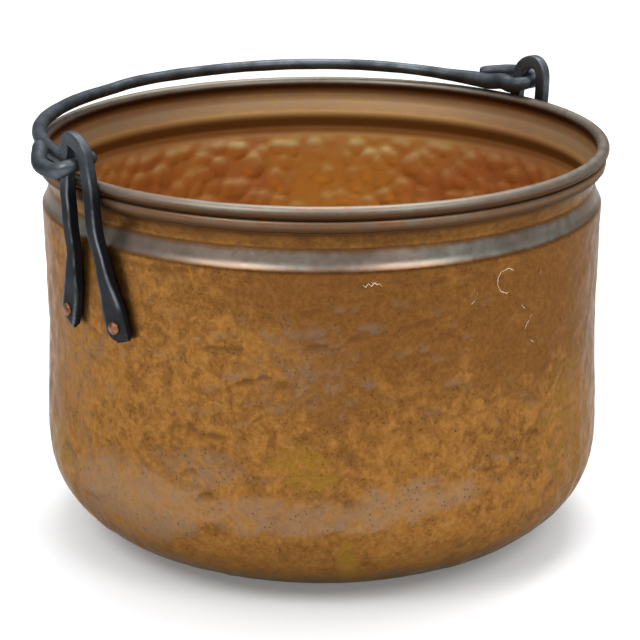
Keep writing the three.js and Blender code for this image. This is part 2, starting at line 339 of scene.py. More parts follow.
def outside_tone(s, cloud, islands, mottle):
    """Gold copper with brown islands and stains, a painted dark reflection on the upper wall, painted light
    and shade on the sides of the hammer marks, painted glints, and painted shade at the foot.
    """
    grey_mark, dark_reflection_mark, green_mark = s.mark("stains_and_painted_light")
    glint_mark, _, _ = s.mark("glint_shade_and_rim")
    bowl_mark, upward_mark, height_mark = s.mark("relief")
    gold = s.mix(s.fit(mottle, 0.35, 0.68), *GOLD)
    brown = s.mix(s.fit(mottle, 0.38, 0.62), *BROWN)
    # The painted dark reflection also tips the copper towards its brown tone
    wear_and_painted_light = s.maths("ADD", islands, s.maths("MULTIPLY", dark_reflection_mark, 0.16))
    wear_and_painted_light = s.maths("ADD", wear_and_painted_light, s.fit(cloud, 0.35, 0.65, -0.05, 0.05))
    wear_and_painted_light = s.maths("ADD", wear_and_painted_light, s.maths("MULTIPLY", bowl_mark, 0.05))
    contrast = s.fit(height_mark, 0.08, 0.20, 0.25, 0.75)
    tone = s.mix(s.fit(wear_and_painted_light, 0.44, 0.64, 0.0, contrast), gold, brown)
    # Painted dark reflection on the upper wall
    tone = s.mix(s.maths("MULTIPLY", dark_reflection_mark, 0.40), tone, PAINTED_DARK_REFLECTION)
    grey = s.maths("ADD", grey_mark, s.maths("MULTIPLY", islands, 1.1))
    tone = s.mix(s.fit(grey, 0.70, 1.15, 0.0, 0.6), tone, GREY_BLOOM)
    green = s.maths("ADD", green_mark, s.maths("MULTIPLY", islands, 1.4))
    tone = s.mix(s.fit(green, 0.90, 1.20, 0.0, 0.55), tone, GREEN_STAIN)
    # Painted light and shade: hammer-mark sides facing up painted lighter, those facing down darker
    tone = s.mix(s.fit(upward_mark, 0.55, 0.90, 0.0, 0.50), tone, LIT_EDGE)
    tone = s.mix(s.fit(upward_mark, 0.46, 0.16, 0.0, 0.85), tone, SHADED_EDGE)
    # Painted highlight: pale glints where the hammer marks face up, broken up by the islands
    painted_glint_share = s.maths("MULTIPLY", glint_mark, s.fit(islands, 0.36, 0.52, 0.45, 1.0))
    tone = s.mix(painted_glint_share, tone, PAINTED_GLINT)
    # Painted shade at the foot of the kettle, darkest at the floor
    return s.mix(s.fit(height_mark, 0.0, 0.16, 0.82, 0.0), tone, PAINTED_BASE_SHADE)


def inside_tone(s, cloud):
    """Bright copper with painted light and shade on the sides of its hammer marks, duller at the smooth
    mouth and at the bottom.
    """
    _, _, smooth_mark = s.mark("zones")
    _, upward_mark, height_mark = s.mark("relief")
    inner = s.mix(s.fit(cloud, 0.42, 0.60), *INNER_GOLD)
    # Painted light and shade: hammer-mark sides facing up painted lighter, those facing down darker
    inner = s.mix(s.fit(upward_mark, 0.52, 0.85, 0.0, 0.6), inner, INNER_LIT_EDGE)
    inner = s.mix(s.fit(upward_mark, 0.48, 0.15, 0.0, 0.6), inner, INNER_SHADED_EDGE)
    inner = s.mix(s.maths("MULTIPLY", smooth_mark, 0.8), inner, INNER_SMOOTH)
    return s.mix(s.fit(height_mark, 0.06, 0.42, 0.9, 0.0), inner, INNER_BASE)


def with_band(s, tone, cloud, islands):
    """Lays the grey burnished band and rim over a tone, with a warm fringe: the grey is tarnish and partly
    a painted reflection of the sky.
    """
    band_mark, _, _ = s.mark("zones")
    # Grey of tarnish, partly a painted reflection of the sky
    band = s.mix(s.fit(islands, 0.35, 0.65), *BAND_TARNISH_AND_SKY)
    band = s.mix(s.fit(cloud, 0.44, 0.60, 0.0, 0.8), band, BAND_WARM)
    share = s.maths("ADD", band_mark, s.fit(islands, 0.3, 0.7, -0.10, 0.10))
    tone = s.mix(s.fit(share, 0.10, 0.45, 0.0, 0.45), tone, BAND_FRINGE)
    return s.mix(s.fit(share, 0.40, 0.95, 0.0, 0.95), tone, band)


def copper_roughness(s, islands):
    _, inside_mark, smooth_mark = s.mark("zones")
    _, _, rim_mark = s.mark("glint_shade_and_rim")
    mouth_mark = s.maths("MULTIPLY", inside_mark, smooth_mark)
    rough = s.fit(islands, 0.35, 0.65, 0.29, 0.39)
    rough = s.fit(inside_mark, 0.0, 1.0, rough, 0.33)
    rough = s.maths("ADD", rough, s.maths("MULTIPLY", mouth_mark, 0.32))
    return s.maths("ADD", rough, s.maths("MULTIPLY", rim_mark, 0.14))


def copper_normal(s, islands):
    """Fine grain, and shallow ripples that fade inside and where the copper is smooth."""
    _, inside_mark, smooth_mark = s.mark("zones")
    grain = s.noise(900.0, detail=3.0, roughness=0.7)
    calm = s.maths("MULTIPLY", s.maths("MAXIMUM", smooth_mark, inside_mark), 0.28)
    below = s.bump(grain, 0.00006, 0.3)
    return s.bump(islands, 0.0010, s.maths("SUBTRACT", 0.32, calm), below=below)


def copper_material():
    s = Shader("hammered_copper")
    cloud = s.noise(11.0, detail=5.0, roughness=0.6)
    islands = s.noise(95.0, detail=9.0, roughness=0.66, distortion=0.4)
    mottle = s.noise(300.0, detail=6.0, roughness=0.7)
    _, inside_mark, _ = s.mark("zones")
    _, painted_shade_mark, _ = s.mark("glint_shade_and_rim")
    tone = s.mix(inside_mark, outside_tone(s, cloud, islands, mottle), inside_tone(s, cloud))
    specks = s.maths("ADD", s.cells(300.0), s.fit(islands, 0.35, 0.62, 0.35, 0.0))
    specks = s.maths("ADD", specks, inside_mark)
    tone = s.mix(s.fit(specks, 0.16, 0.34, 0.60, 0.0), tone, SPECK)
    tone = with_band(s, tone, cloud, islands)
    # Painted shade in the neck, under the rolled rim, in the groove of the hem and below the neck inside
    painted_shade = s.mix(inside_mark, OUTER_PAINTED_SHADE, INNER_PAINTED_SHADE)
    tone = s.mix(s.maths("MULTIPLY", painted_shade_mark, 0.92), tone, painted_shade)
    s.surface.inputs["Specular Tint"].default_value = (0.60, 0.56, 0.52, 1.0)
    return s.finish(tone, copper_roughness(s, islands), 0.92, copper_normal(s, islands))


def rivet_material():
    s = Shader("rivet_copper")
    mottle = s.noise(300.0, detail=5.0)
    tone = s.mix(s.fit(mottle, 0.35, 0.65), (0.13, 0.050, 0.022), (0.30, 0.130, 0.065))
    normal = s.bump(mottle, 0.0002, 0.5)
    return s.finish(tone, s.fit(mottle, 0.3, 0.7, 0.35, 0.55), 0.8, normal)


def bare_copper_material():
    """The bright metal of the scratches."""
    s = Shader("bare_copper")
    shine = s.noise(500.0, detail=3.0)
    tone = s.mix(s.fit(shine, 0.35, 0.65), (0.62, 0.40, 0.27), (0.98, 0.80, 0.64))
    return s.finish(tone, 0.32, 0.7)


def iron_material():
    """Blue-grey iron with a painted dark reflection low down, and worn edges on the brackets whose lighter
    colour is partly a painted ridge highlight.
    """
    s = Shader("forged_iron")
    cloud = s.noise(45.0, detail=5.0, roughness=0.6)
    grain = s.noise(700.0, detail=5.0, roughness=0.7)
    tone = s.mix(s.fit(cloud, 0.35, 0.68), (0.072, 0.078, 0.086), (0.115, 0.130, 0.146))
    tone = s.mix(s.fit(grain, 0.56, 0.72, 0.0, 0.45), tone, (0.19, 0.21, 0.23))
    # Painted dark reflection: the iron low down, the legs and feet, painted near black
    level = s.maths("ADD", s.height(), s.fit(cloud, 0.3, 0.7, -0.006, 0.006))
    painted_dark_reflection_low = s.fit(level, 0.268, 0.304, 0.92, 0.0)
    tone = s.mix(painted_dark_reflection_low, tone, (0.014, 0.014, 0.015))
    # Worn corners of the brackets, painted lighter, partly as a painted ridge highlight
    wear_and_highlight_mark, _, _ = s.mark("wear_and_painted_light")
    bare_and_highlight = s.maths("MULTIPLY", wear_and_highlight_mark, s.fit(s.noise(28.0, detail=4.0), 0.44, 0.62, 0.0, 0.85))
    tone = s.mix(bare_and_highlight, tone, (0.19, 0.21, 0.235))
    rough = s.fit(cloud, 0.3, 0.7, 0.52, 0.38)
    rough = s.maths("SUBTRACT", rough, s.maths("MULTIPLY", bare_and_highlight, 0.14))
    s.surface.inputs["Specular Tint"].default_value = (0.46, 0.48, 0.50, 1.0)
    normal = s.bump(grain, 0.00012, 0.45)
    normal = s.bump(cloud, 0.0012, 0.35, below=normal)
    return s.finish(tone, rough, 0.85, normal)


def floor_material():
    s = Shader("pale_floor")
    s.surface.inputs["Emission Color"].default_value = (1.0, 1.0, 1.0, 1.0)
    s.surface.inputs["Emission Strength"].default_value = 0.16
    return s.finish((0.84, 0.84, 0.84, 1.0), 0.7, 0.0)


# ---------------------------------------------------------------- kettle body


def wall_radius(z):
    """Outside radius between the belly and the neck."""
    if z < WAIST_Z:
        return glide(BELLY_RADIUS, WAIST_RADIUS, (z - BELLY_Z) / (WAIST_Z - BELLY_Z))
    if z < SHOULDER_Z:
        return glide(WAIST_RADIUS, SHOULDER_RADIUS, (z - WAIST_Z) / (SHOULDER_Z - WAIST_Z))
    crest = glide(0.0, CREST_DROP, (z - SHOULDER_Z) / CREST_HEIGHT)
    slope = (SHOULDER_RADIUS - NECK_RADIUS - CREST_DROP) * (z - SHOULDER_Z) / (NECK_Z - SHOULDER_Z)
    return SHOULDER_RADIUS - crest - slope


def outside_profile():
    """Points (radius, height) from the centre of the base up to the wall behind the hem."""
    points = [(BASE_RADIUS * step / BASE_STEPS, 0.0) for step in range(1, BASE_STEPS)]
    for step in range(CORNER_STEPS + 1):
        angle = math.pi / 2 * step / CORNER_STEPS
        across = math.sin(angle) ** (2 / CORNER_POWER)
        down = math.cos(angle) ** (2 / CORNER_POWER)
        points.append((BASE_RADIUS + (BELLY_RADIUS - BASE_RADIUS) * across, BELLY_Z * (1 - down)))
    for step in range(1, WALL_STEPS + 1):
        z = BELLY_Z + (SHOULDER_Z - BELLY_Z) * step / WALL_STEPS
        points.append((wall_radius(z), z))
    for step in range(1, NECK_STEPS + 1):
        z = SHOULDER_Z + (NECK_Z - SHOULDER_Z) * step / NECK_STEPS
        points.append((wall_radius(z), z))
    for step in range(1, FLARE_STEPS + 1):
        share = step / FLARE_STEPS
        radius = NECK_RADIUS + (HEM_WALL - NECK_RADIUS) * share ** 1.4
        points.append((radius, NECK_Z + (HEM_Z - NECK_Z) * share))
    points.append((HEM_WALL, HEM_Z + 3 * SHEET))
    return points


def moved_in(points, distance):
    """The same line moved towards the inside of the kettle."""
    moved = []
    for index, (radius, z) in enumerate(points):
        before = points[max(index - 1, 0)]
        after = points[min(index + 1, len(points) - 1)]
        along = Vector((after[0] - before[0], after[1] - before[1])).normalized()
        moved.append((radius - along.y * distance, z + along.x * distance))
    return moved


def roll_arc(radius, end_degrees, steps):
    """Points round the wire, from the wall side over the top to the hem."""
    start, end = math.radians(ROLL_START), math.radians(end_degrees)
    arc = []
    for step in range(steps + 1):
        angle = start + (end - start) * step / steps
        arc.append((ROLL_CENTRE[0] + radius * math.cos(angle), ROLL_CENTRE[1] + radius * math.sin(angle)))
    return arc


def hem_points():
    """The turned-over copper below the roll: down its inner face, round its edge and up its outer face."""
    inner = [(0.0003, 0.0075), (0.0007, 0.0055), (0.0016, 0.0039), (0.0015, 0.0022), (0.0008, 0.0010)]
    outer = [(0.0011, 0.0001), (0.0022, 0.0003), (0.0030, 0.0012), (0.0034, 0.0026), (0.0036, 0.0042)]
    outer += [(0.0036, 0.0056), (0.0034, 0.0068), (0.0028, 0.0078), (0.0019, 0.0084), (0.0015, 0.0087)]
    return [(HEM_WALL + out, HEM_Z + up) for out, up in inner + outer]


def kettle_profile():
    """The whole closed section as (radius, height, side): side is 1 outside, -1 inside, 0 at the rim."""
    outside = outside_profile()
    inside = moved_in(outside, SHEET)
    rim = roll_arc(ROLL_INSIDE, ROLL_INSIDE_END, 10)
    rim += hem_points()
    rim += reversed(roll_arc(ROLL_OUTSIDE, ROLL_OUTSIDE_END, 24))
    section = [(radius, z, 1) for radius, z in outside]
    section += [(radius, z, 0) for radius, z in rim]
    section += [(radius, z, -1) for radius, z in reversed(inside)]
    return section


def dent(place, side):
    """Depth from 0 to 1 of the hammer marks at a place: shallow bowls that meet in soft ridges."""
    cell = DENT_CELL[side]
    swirl = Vector((11.3, 4.7 * side, 2.9)) + noise.noise_vector(place * 45.0) * 0.25
    near = noise.voronoi(place / cell + swirl)[0][0]
    bowl = 1.0 - min(near / 0.66, 1.0) ** 2
    patch = noise.noise(place * 14.0)
    patchy = 0.62 + 0.5 * patch if side > 0 else 0.85 + 0.2 * patch
    return bowl * patchy


def hammered(radius, z, side, angle):
    """How far the surface stands in from its true line, and how deep in a hammer mark it is, 0 to 1."""
    place = Vector((radius * math.cos(angle), radius * math.sin(angle), z))
    sway = 0.5 + 0.5 * noise.noise(place * 5.0)
    if side == 0:
        ripple = 0.5 + 0.5 * noise.noise(place * 38.0)
        return 0.00012 * sway + 0.00022 * ripple, 0.0
    soft = 0.5 + 0.5 * noise.noise(place * 30.0)
    low = ramp(0.0, 0.012, z)
    high = 1.0 - ramp(SHOULDER_Z - 0.012, SHOULDER_Z - 0.001, z)
    bowl = dent(place, side)
    if side > 0:
        depth = DENT_DEPTH[1] * bowl + 0.00045 * soft
        return low * (0.0003 * sway + high * depth + (1 - high) * 0.00012 * soft), high * bowl
    clear = INSIDE_CLEAR * (1.0 - ramp(SHOULDER_Z - 0.026, SHOULDER_Z + 0.004, z))
    return -clear - high * (DENT_DEPTH[-1] * bowl + 0.0003 * soft), high * bowl


# Marks on the copper, grey and green stains, dark patches that are a painted reflection of dark
# surroundings, and glints that are painted highlights: (kind, degrees to the right of the front, height,
# half width, half height, strength)
GREY, DARK_REFLECTION, GREEN, GLINT = 0, 1, 2, 3
SPOTS = [
    (GREY, -40, 0.068, 0.080, 0.034, 0.48),
    (GREY, -8, 0.073, 0.110, 0.018, 0.42),
    (GREY, 18, 0.082, 0.060, 0.016, 0.42),
    (GREY, -25, 0.100, 0.050, 0.016, 0.35),
    (GREY, -62, 0.160, 0.060, 0.080, 0.25),
    (GREY, -4, 0.175, 0.050, 0.040, 0.25),
    (DARK_REFLECTION, 10, 0.225, 0.110, 0.034, 1.10),
    (DARK_REFLECTION, 20, 0.200, 0.110, 0.052, 1.00),
    (DARK_REFLECTION, 48, 0.200, 0.100, 0.062, 1.05),
    (DARK_REFLECTION, 75, 0.190, 0.100, 0.080, 0.80),
    (DARK_REFLECTION, 2, 0.165, 0.040, 0.030, 0.60),
    (GREEN, -4, 0.108, 0.034, 0.022, 0.36),
    (GREEN, 5, 0.034, 0.009, 0.034, 0.52),
    (GREEN, -10, 0.012, 0.160, 0.012, 0.60),
    (GREEN, 62, 0.100, 0.060, 0.070, 0.28),
    (GREEN, -70, 0.070, 0.050, 0.040, 0.38),
    (GLINT, 0, 0.180, 0.085, 0.060, 0.70),
    (GLINT, -30, 0.110, 0.120, 0.080, 0.50),
    (GLINT, 20, 0.140, 0.120, 0.080, 0.40),
]


def spot_marks(angle, z, facing_up):
    """Strength of each kind of mark at a place on the outside: stains, a painted dark reflection and
    painted glints. The painted glints show only where the copper faces up.
    """
    stains_and_painted_light = [0.0] * 4
    wobble = noise.noise(Vector((angle * 9.0, z * 45.0, 0.0)))
    for kind, degrees, height, half_width, half_height, strength in SPOTS:
        across = (angle - math.radians(degrees)) * BELLY_RADIUS / half_width
        up = (z - height) / half_height
        reach = math.hypot(across, up) + 0.35 * wobble
        stains_and_painted_light[kind] = max(stains_and_painted_light[kind], strength * (1.0 - ramp(0.45, 1.25, reach)))
    stains_and_painted_light[GLINT] *= ramp(0.05, 0.20, facing_up)
    return stains_and_painted_light


def zone_marks(z, side):
    """The burnished band (painted grey: tarnish and partly a painted reflection of the sky), the inside of
    the kettle, and the smooth upper part, each from 0 to 1.
    """
    if side > 0:
        below_neck = 1 - ramp(NECK_Z - 0.0065, NECK_Z + 0.0025, z)
        band = ramp(SHOULDER_Z - 0.0010, SHOULDER_Z + 0.0040, z) * below_neck
    elif side < 0:
        below_hem = 1 - ramp(HEM_Z + 0.0030, HEM_Z + 0.0065, z)
        band = 0.52 * ramp(NECK_Z + 0.0005, NECK_Z + 0.0060, z) * below_hem
    else:
        band = 0.62 + 0.30 * ramp(HEM_Z + 0.0120, HEM_Z + 0.0150, z)
    smooth = ramp(SHOULDER_Z - 0.006, SHOULDER_Z, z)
    return [band, 1.0 if side < 0 else 0.0, smooth]


def painted_shade_marks(z, side):
    """Painted shade in the neck, under the rolled rim and in the groove between the rim and its hem, and in
    a band below the neck inside.
    """
    if side > 0:
        neck = 0.55 * ramp(NECK_Z - 0.0030, NECK_Z + 0.0030, z)
        return neck + 0.45 * ramp(HEM_Z - 0.005, HEM_Z - 0.001, z)
    if side < 0:
        below_neck = 1 - ramp(NECK_Z - 0.0045, NECK_Z + 0.0005, z)
        return ramp(NECK_Z - 0.0120, NECK_Z - 0.0085, z) * below_neck
    below_bead = 1 - 0.82 * ramp(HEM_Z + 0.0120, HEM_Z + 0.0150, z)
    groove = ramp(HEM_Z + 0.0070, HEM_Z + 0.0086, z) * below_bead
    return max(1.0 - ramp(HEM_Z + 0.0020, HEM_Z + 0.0078, z), groove)


def section_normals(section):
    """Which way each point of a section faces, as (outward, up)."""
    normals = []
    for index in range(len(section)):
        before = section[max(index - 1, 0)]
        after = section[min(index + 1, len(section) - 1)]
        along = Vector((after[0] - before[0], after[1] - before[1])).normalized()
        normals.append((along.y, -along.x))
    return normals


def wall_faces(rows):
    """Faces of the closed wall, made of as many rows of points as the section has."""
    faces = []
    for turn in range(WALL_TURNS):
        here, there = turn * rows, (turn + 1) % WALL_TURNS * rows
        faces += [(here + row, there + row, there + row + 1, here + row + 1) for row in range(rows - 1)]
    return faces


def close_centre(verts, faces, layers, row, rows, downward):
    """Closes the hole in the middle of the base with a fan of faces."""
    centre = len(verts)
    z = verts[row][2]
    verts.append((0.0, 0.0, z))
    for name, values in layers.items():
        values += (*zone_marks(z, -1), 1.0) if name == "zones" else (0.0, 0.0, 0.0, 1.0)
    for turn in range(WALL_TURNS):
        pair = (turn * rows + row, (turn + 1) % WALL_TURNS * rows + row)
        faces.append((centre, pair[1], pair[0]) if downward else (centre, pair[0], pair[1]))


def kettle_body(material):
    """The sheet of copper, with the marks that the material reads stored on its points."""
    section = kettle_profile()
    normals = section_normals(section)
    rows = len(section)
    verts, layers = [], {"stains_and_painted_light": [], "zones": [], "glint_shade_and_rim": [], "relief": []}
    for turn in range(WALL_TURNS):
        angle = 2 * math.pi * turn / WALL_TURNS
        front = math.remainder(angle + FRONT + math.pi / 2, 2 * math.pi)
        wave = 0.0007 * noise.noise(Vector((math.cos(angle), math.sin(angle), 0.0)) * 14.0)
        last_inward = 0.0
        for (radius, z, side), (out, up) in zip(section, normals):
            inward, bowl = hammered(radius, z, side, angle)
            on_hem = side == 0 and z < HEM_Z + 0.004
            edge = wave * (1 - ramp(HEM_Z, HEM_Z + 0.004, z)) if on_hem else 0.0
            low = max(z - up * inward + edge, 0.0)
            sunk = radius - out * inward
            verts.append((sunk * math.cos(angle), sunk * math.sin(angle), low))
            facing_up = (inward - last_inward) / ROW_SPACING
            last_inward = inward
            stains_and_painted_light = spot_marks(front, z, facing_up) if side > 0 else [0.0] * 4
            upward = min(max(0.5 + 1.6 * facing_up * side, 0.0), 1.0)
            layers["stains_and_painted_light"] += (*stains_and_painted_light[:3], 1.0)
            # Painted glints, painted shade in the neck and under the rim, and which points are on the rim
            layers["glint_shade_and_rim"] += (stains_and_painted_light[GLINT], painted_shade_marks(z, side), 1.0 if side == 0 else 0.0, 1.0)
            layers["zones"] += (*zone_marks(z, side), 1.0)
            layers["relief"] += (bowl, upward, low / POT_HEIGHT, 1.0)
    faces = wall_faces(rows)
    close_centre(verts, faces, layers, 0, rows, downward=True)
    close_centre(verts, faces, layers, rows - 1, rows, downward=False)
    piece = add_mesh("kettle_shell", verts, faces, material, "kettle", ["kettle_body"])
    for name, values in layers.items():
        paint(piece, name, values)


# Bright scratches through the patina: where each one starts (degrees to the right of the front, and
# height), its number of steps, the way it sets off, how it curls at each step and how it zigzags,
# the last three in degrees.
SCRATCHES = [
    (7.5, 0.230, 7, 10, 0, 50),
    (9.0, 0.232, 2, -50, 90, 0),
    (39.0, 0.226, 14, 130, 18, 12),
    (44.0, 0.191, 2, 40, 10, 0),
    (43.0, 0.184, 3, 80, -20, 0),
    (41.5, 0.202, 2, -50, 10, 0),
    (44.5, 0.176, 2, -30, 0, 10),
    (30.5, 0.217, 1, -80, 0, 0),
    (29.0, 0.210, 2, 30, 10, 0),
    (46.5, 0.222, 1, -70, 0, 0),
]
SCRATCH_STEP = 0.0024
SCRATCH_WIDTH = 0.00017
SCRATCH_LIFT = 0.00012


def scratch_line(degrees, height, steps, heading, curl, zigzag):
    """The corners of a scratch, as (distance round the wall from the front, height)."""
    corners = [Vector((math.radians(degrees) * BELLY_RADIUS, height, 0.0))]
    for step in range(steps):
        way = math.radians(heading + curl * step + (zigzag if step % 2 else -zigzag))
        stride = SCRATCH_STEP * (1.0 + 0.8 * noise.noise(corners[-1] * 700.0))
        corners.append(corners[-1] + Vector((math.cos(way), math.sin(way), 0.0)) * stride)
    return corners


def scratches(material):
    """Hair-thin ribbons of bare copper that lie on the hammered surface."""
    verts, faces = [], []
    for scratch in SCRATCHES:
        line = scratch_line(*scratch)
        line = [a.lerp(b, share / 4) for a, b in zip(line, line[1:]) for share in range(4)] + [line[-1]]
        start = len(verts)
        for index, (point, way) in enumerate(zip(line, tangents(line))):
            taper = min(index + 1, len(line) - index, 4) / 4
            width = SCRATCH_WIDTH * taper * (0.8 + 0.6 * noise.noise(point * 900.0))
            for edge in (-1, 1):
                across = point.x - way.y * width * edge
                z = point.y + way.x * width * edge
                angle = across / BELLY_RADIUS - FRONT - math.pi / 2
                out = wall_radius(z) - hammered(wall_radius(z), z, 1, angle)[0] + SCRATCH_LIFT
                verts.append((out * math.cos(angle), out * math.sin(angle), z))
        pairs = range(start, len(verts) - 2, 2)
        faces += [(low, low + 1, low + 3, low + 2) for low in pairs]
    add_mesh("kettle_scratches", verts, faces, material, "kettle", [])


# ---------------------------------------------------------------- curves


def through(points, spacing):
    """A smooth line through the points, as places about one spacing apart."""
    line = []
    padded = [points[0] * 2 - points[1], *points, points[-1] * 2 - points[-2]]
    for a, b, c, d in zip(padded, padded[1:], padded[2:], padded[3:]):
        steps = max(1, round((c - b).length / spacing))
        knots = [0.0]
        for start, end in ((a, b), (b, c), (c, d)):
            knots.append(knots[-1] + max((end - start).length, 1e-6) ** 0.5)
        for step in range(steps):
            t = knots[1] + (knots[2] - knots[1]) * step / steps
            ab = a.lerp(b, (t - knots[0]) / (knots[1] - knots[0]))
            bc = b.lerp(c, (t - knots[1]) / (knots[2] - knots[1]))
            cd = c.lerp(d, (t - knots[2]) / (knots[3] - knots[2]))
            abc = ab.lerp(bc, (t - knots[0]) / (knots[2] - knots[0]))
            bcd = bc.lerp(cd, (t - knots[1]) / (knots[3] - knots[1]))
            line.append(abc.lerp(bcd, (t - knots[1]) / (knots[2] - knots[1])))
    line.append(points[-1].copy())
    return line


def tangents(line):
    """The direction of a line at each of its points."""
    ahead = [*line[1:], line[-1]]
    behind = [line[0], *line[:-1]]
    return [(after - before).normalized() for before, after in zip(behind, ahead)]


def skin(rings):
    """Faces that join rings of points into a closed bar with domed ends."""
    verts = [point for ring in rings for point in ring]
    size = len(rings[0])
    faces = []
    for index in range(len(rings) - 1):
        here, there = index * size, (index + 1) * size
        for side in range(size):
            beside = (side + 1) % size
            faces.append((here + side, here + beside, there + beside, there + side))
    first, last = len(verts), len(verts) + 1
    verts.append(sum(rings[0], Vector()) / size)
    verts.append(sum(rings[-1], Vector()) / size)
    final = (len(rings) - 1) * size
    for side in range(size):
        beside = (side + 1) % size
        faces.append((first, beside, side))
        faces.append((last, final + side, final + beside))
    return verts, faces


# ---------------------------------------------------------------- brackets


# A leg of a bracket from its toe to its arch: (distance from the middle of the bracket, drop below the rim)
LEG = [(0.0304, 0.1035), (0.0272, 0.094), (0.0185, 0.063), (0.0136, 0.029), (0.0133, 0.009)]
KNEE_DROP = 0.029
LEG_SHIFT = 0.0047
ARCH_STEPS = 8


def bracket_line(rise, radius, lean):
    """Centre line of a bracket's bar: x runs along the rim, y is height."""
    arch_z = PIVOT_Z + rise
    knee_z = POT_HEIGHT - KNEE_DROP

    def place(spread, drop, side):
        z = POT_HEIGHT - drop
        shift = glide(-LEG_SHIFT, 0.0, (z - knee_z) / (arch_z - knee_z))
        return Vector((side * spread + shift, z, 0.0))

    arch = []
    for step in range(ARCH_STEPS + 1):
        angle = math.pi * (1 - step / ARCH_STEPS)
        up = math.sin(angle)
        arch.append(Vector((radius * math.cos(angle) + lean * up ** 2, arch_z + radius * up, 0.0)))
    near = [place(*point, -1) for point in LEG]
    far = [place(*point, 1) for point in reversed(LEG)]
    return through([*near, *arch, *far], BAR_SPACING)


def bracket_inside(z):
    """Distance from the kettle's axis to the back of a bracket: it lies on the wall and clears the rim."""
    foot = wall_radius(min(z, SHOULDER_Z)) + FOOT_GAP
    share = (z - (POT_HEIGHT - 0.059)) / 0.033
    return glide(foot, RIM_RADIUS + BRACKET_GAP, share)


def bar_section():
    """A square with narrow worn edges, one unit wide."""
    section = []
    for step in range(BAR_SIDES):
        angle = 2 * math.pi * (step + 0.5) / BAR_SIDES
        across, depth = math.cos(angle), math.sin(angle)
        across = math.copysign(abs(across) ** (2 / BAR_SQUARENESS), across) / 2
        depth = math.copysign(abs(depth) ** (2 / BAR_SQUARENESS), depth) / 2
        section.append((across, depth))
    return section


def bracket_rings(rise, radius, lean, seed):
    """Rings of points along a bracket's bar, which widens into a trimmed foot at each toe."""
    line = bracket_line(rise, radius, lean)
    ways = tangents(line)
    length = len(line) - 1
    rings = []
    for index, (centre, way) in enumerate(zip(line, ways)):
        from_toe = min(index, length - index) * BAR_SPACING
        near_leg = index < length / 2
        drop = POT_HEIGHT - centre.y
        splay = (drop - 0.052) / 0.034
        width = glide(BAR_WIDTH, FOOT_WIDTH, splay)
        thick = glide(BAR_THICKNESS, LEG_THICKNESS, drop / 0.012)
        thick = glide(thick, FOOT_THICKNESS, splay)
        blunt = 1.0 - 0.5 * (1 - ramp(0.0, 0.004, from_toe))
        trimmed = 1.0 - 0.75 * (1 - min(from_toe / 0.0085, 1.0))
        rounded = 1.0 - 0.2 * (1 - ramp(0, 0.005, from_toe))
        ring = []
        for across, depth in bar_section():
            outer = across < 0 if near_leg else across > 0
            shaped = across * width * (trimmed if outer else rounded)
            z = centre.y + way.x * shaped
            dip = 0.5 + noise.noise(Vector((centre.x + across * 0.004, z, depth * 0.004 + seed)) * 85.0)
            out = bracket_inside(z) + (0.5 + depth * blunt) * thick - max(depth, 0.0) * 0.0010 * dip
            along = centre.x - way.y * shaped * (1 - 0.06 * dip)
            angle = along / BAR_RADIUS
            ring.append(Vector((-out * math.cos(angle), out * math.sin(angle), z)))
        rings.append(ring)
    return rings


def brackets(material):
    """Both forgings, with the worn corners of their outer sides marked for the material, which paints them
    lighter, partly as a painted ridge highlight.
    """
    for name, (end, rise, radius, lean) in BRACKETS.items():
        rings = bracket_rings(rise, radius, -end * lean, seed=end * 3.7)
        turned = [[Vector((-end * p.x, -end * p.y, p.z)) for p in ring] for ring in rings]
        verts, faces = skin(turned)
        piece = add_mesh(f"{name}_forging", verts, faces, material, "kettle", [name])
        wear_and_painted_light = []
        for across, depth in bar_section():
            corner = ramp(0.30, 0.45, abs(across)) * ramp(0.30, 0.45, depth)
            wear_and_painted_light += (corner, 0.0, 0.0, 1.0)
        end_centres = [0.0] * 8
        paint(piece, "wear_and_painted_light", wear_and_painted_light * len(rings) + end_centres)


# ---------------------------------------------------------------- rivets


def rivet_profile(height_of_head):
    """(radius, distance out from the kettle's axis) from the inner head to the top of the dome."""
    wall = wall_radius(height_of_head)
    inner = wall - SHEET - INSIDE_CLEAR - 0.0008
    face = wall + FOOT_GAP + FOOT_THICKNESS - 0.0003
    points = [(0.0018, inner - 0.0012), (0.0036, inner - 0.0011), (0.0043, inner - 0.0006), (0.0044, inner)]
    points += [(SHANK_RADIUS, inner + 0.0012), (SHANK_RADIUS, face - 0.0004), (0.0042, face - 0.0003)]
    for step in range(DOME_STEPS):
        angle = math.pi / 2 * step / DOME_STEPS
        points.append((HEAD_RADIUS * math.cos(angle) ** 0.8, face + HEAD_HEIGHT * math.sin(angle)))
    return points


def rivets(material):
    """Four rivets where the CAD has them, a little lumpy, through the feet and the wall."""
    up = Vector((0, 0, 1))
    for node in ("left_rivet_1", "left_rivet_2", "right_rivet_1", "right_rivet_2"):
        low, high = (Vector(corner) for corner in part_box(node))
        middle = (low + high) / 2
        outward = Vector((middle.x, middle.y, 0.0)).normalized()
        aside = up.cross(outward)
        rings = []
        for radius, out in rivet_profile(middle.z):
            ring = []
            for step in range(RIVET_SIDES):
                angle = 2 * math.pi * step / RIVET_SIDES
                spot = aside * math.cos(angle) + up * math.sin(angle)
                lump = noise.noise(spot * 1.7 + outward * out * 300 + middle * 40)
                place = outward * (out + 0.00025 * lump) + spot * radius * (1 + 0.06 * lump)
                ring.append(place + Vector((0, 0, middle.z)))
            rings.append(ring)
        verts, faces = skin(rings)
        add_mesh(f"{node}_copper", verts, faces, material, "kettle", [node])


# ---------------------------------------------------------------- bail


